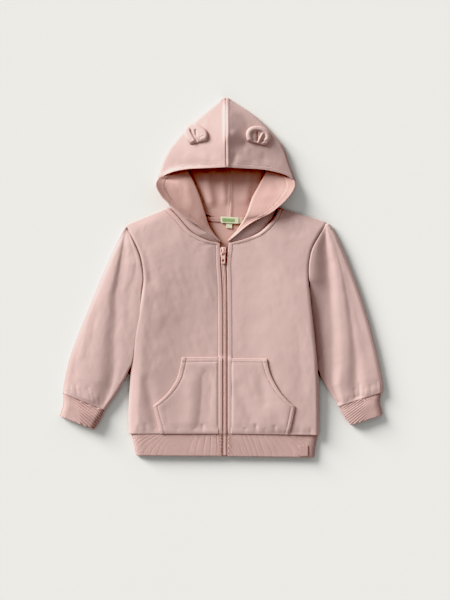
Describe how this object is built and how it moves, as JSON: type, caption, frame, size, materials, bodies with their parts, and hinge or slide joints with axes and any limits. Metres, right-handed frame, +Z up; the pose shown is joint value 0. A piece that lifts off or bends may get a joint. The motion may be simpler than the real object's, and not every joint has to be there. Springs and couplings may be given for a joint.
{
  "type": "child's zip-up hooded sweatshirt",
  "caption": "Child's pink zip-up hooded sweatshirt laid flat, with small round ears on the hood, kangaroo pockets, ribbed cuffs and hem, and a zip with a hinged pull tab.",
  "frame": {"origin": "middle of the footprint, on the surface that the garment lies on", "axes": "+Z up off the surface, +Y from the hem to the top of the hood, +X to the right as seen from above, which is the wearer's left"},
  "size_m": [0.5193, 0.5765, 0.03],
  "materials": {
    "fleece": "soft brushed sweatshirt knit, dusty pink",
    "rib": "fine knitted rib, dusty pink",
    "tape": "woven tape, dusty pink",
    "label": "woven cream label with a plain green field",
    "zip_plastic": "satin moulded plastic, dusty pink"
  },
  "bodies": {
    "garment": {"back": "fleece", "front_left": "fleece", "front_right": "fleece", "sleeve_left": "fleece", "sleeve_right": "fleece", "cuff_left": "rib", "cuff_right": "rib", "hem_band": "rib", "pocket_left": "fleece", "pocket_right": "fleece", "hood_left": "fleece", "hood_right": "fleece", "hood_turnout_left": "fleece", "hood_turnout_right": "fleece", "ear_left": "fleece", "ear_right": "fleece", "neck_tape": "tape", "label_main": "label", "label_size": "label", "label_side": "tape", "hem_tab": "tape", "zip_tape_left": "tape", "zip_tape_right": "tape", "zip_chain": "zip_plastic", "zip_slider": "zip_plastic"},
    "pull_tab": {"zip_pull": "zip_plastic"}
  },
  "joints": [
    {"name": "pull_tab_hinge", "type": "hinge", "parent": "garment", "child": "pull_tab", "pos_m": [0.0029, 0.0402, 0.0103], "axis": [-1, 0, 0], "range_deg": [0, 110]}
  ]
}
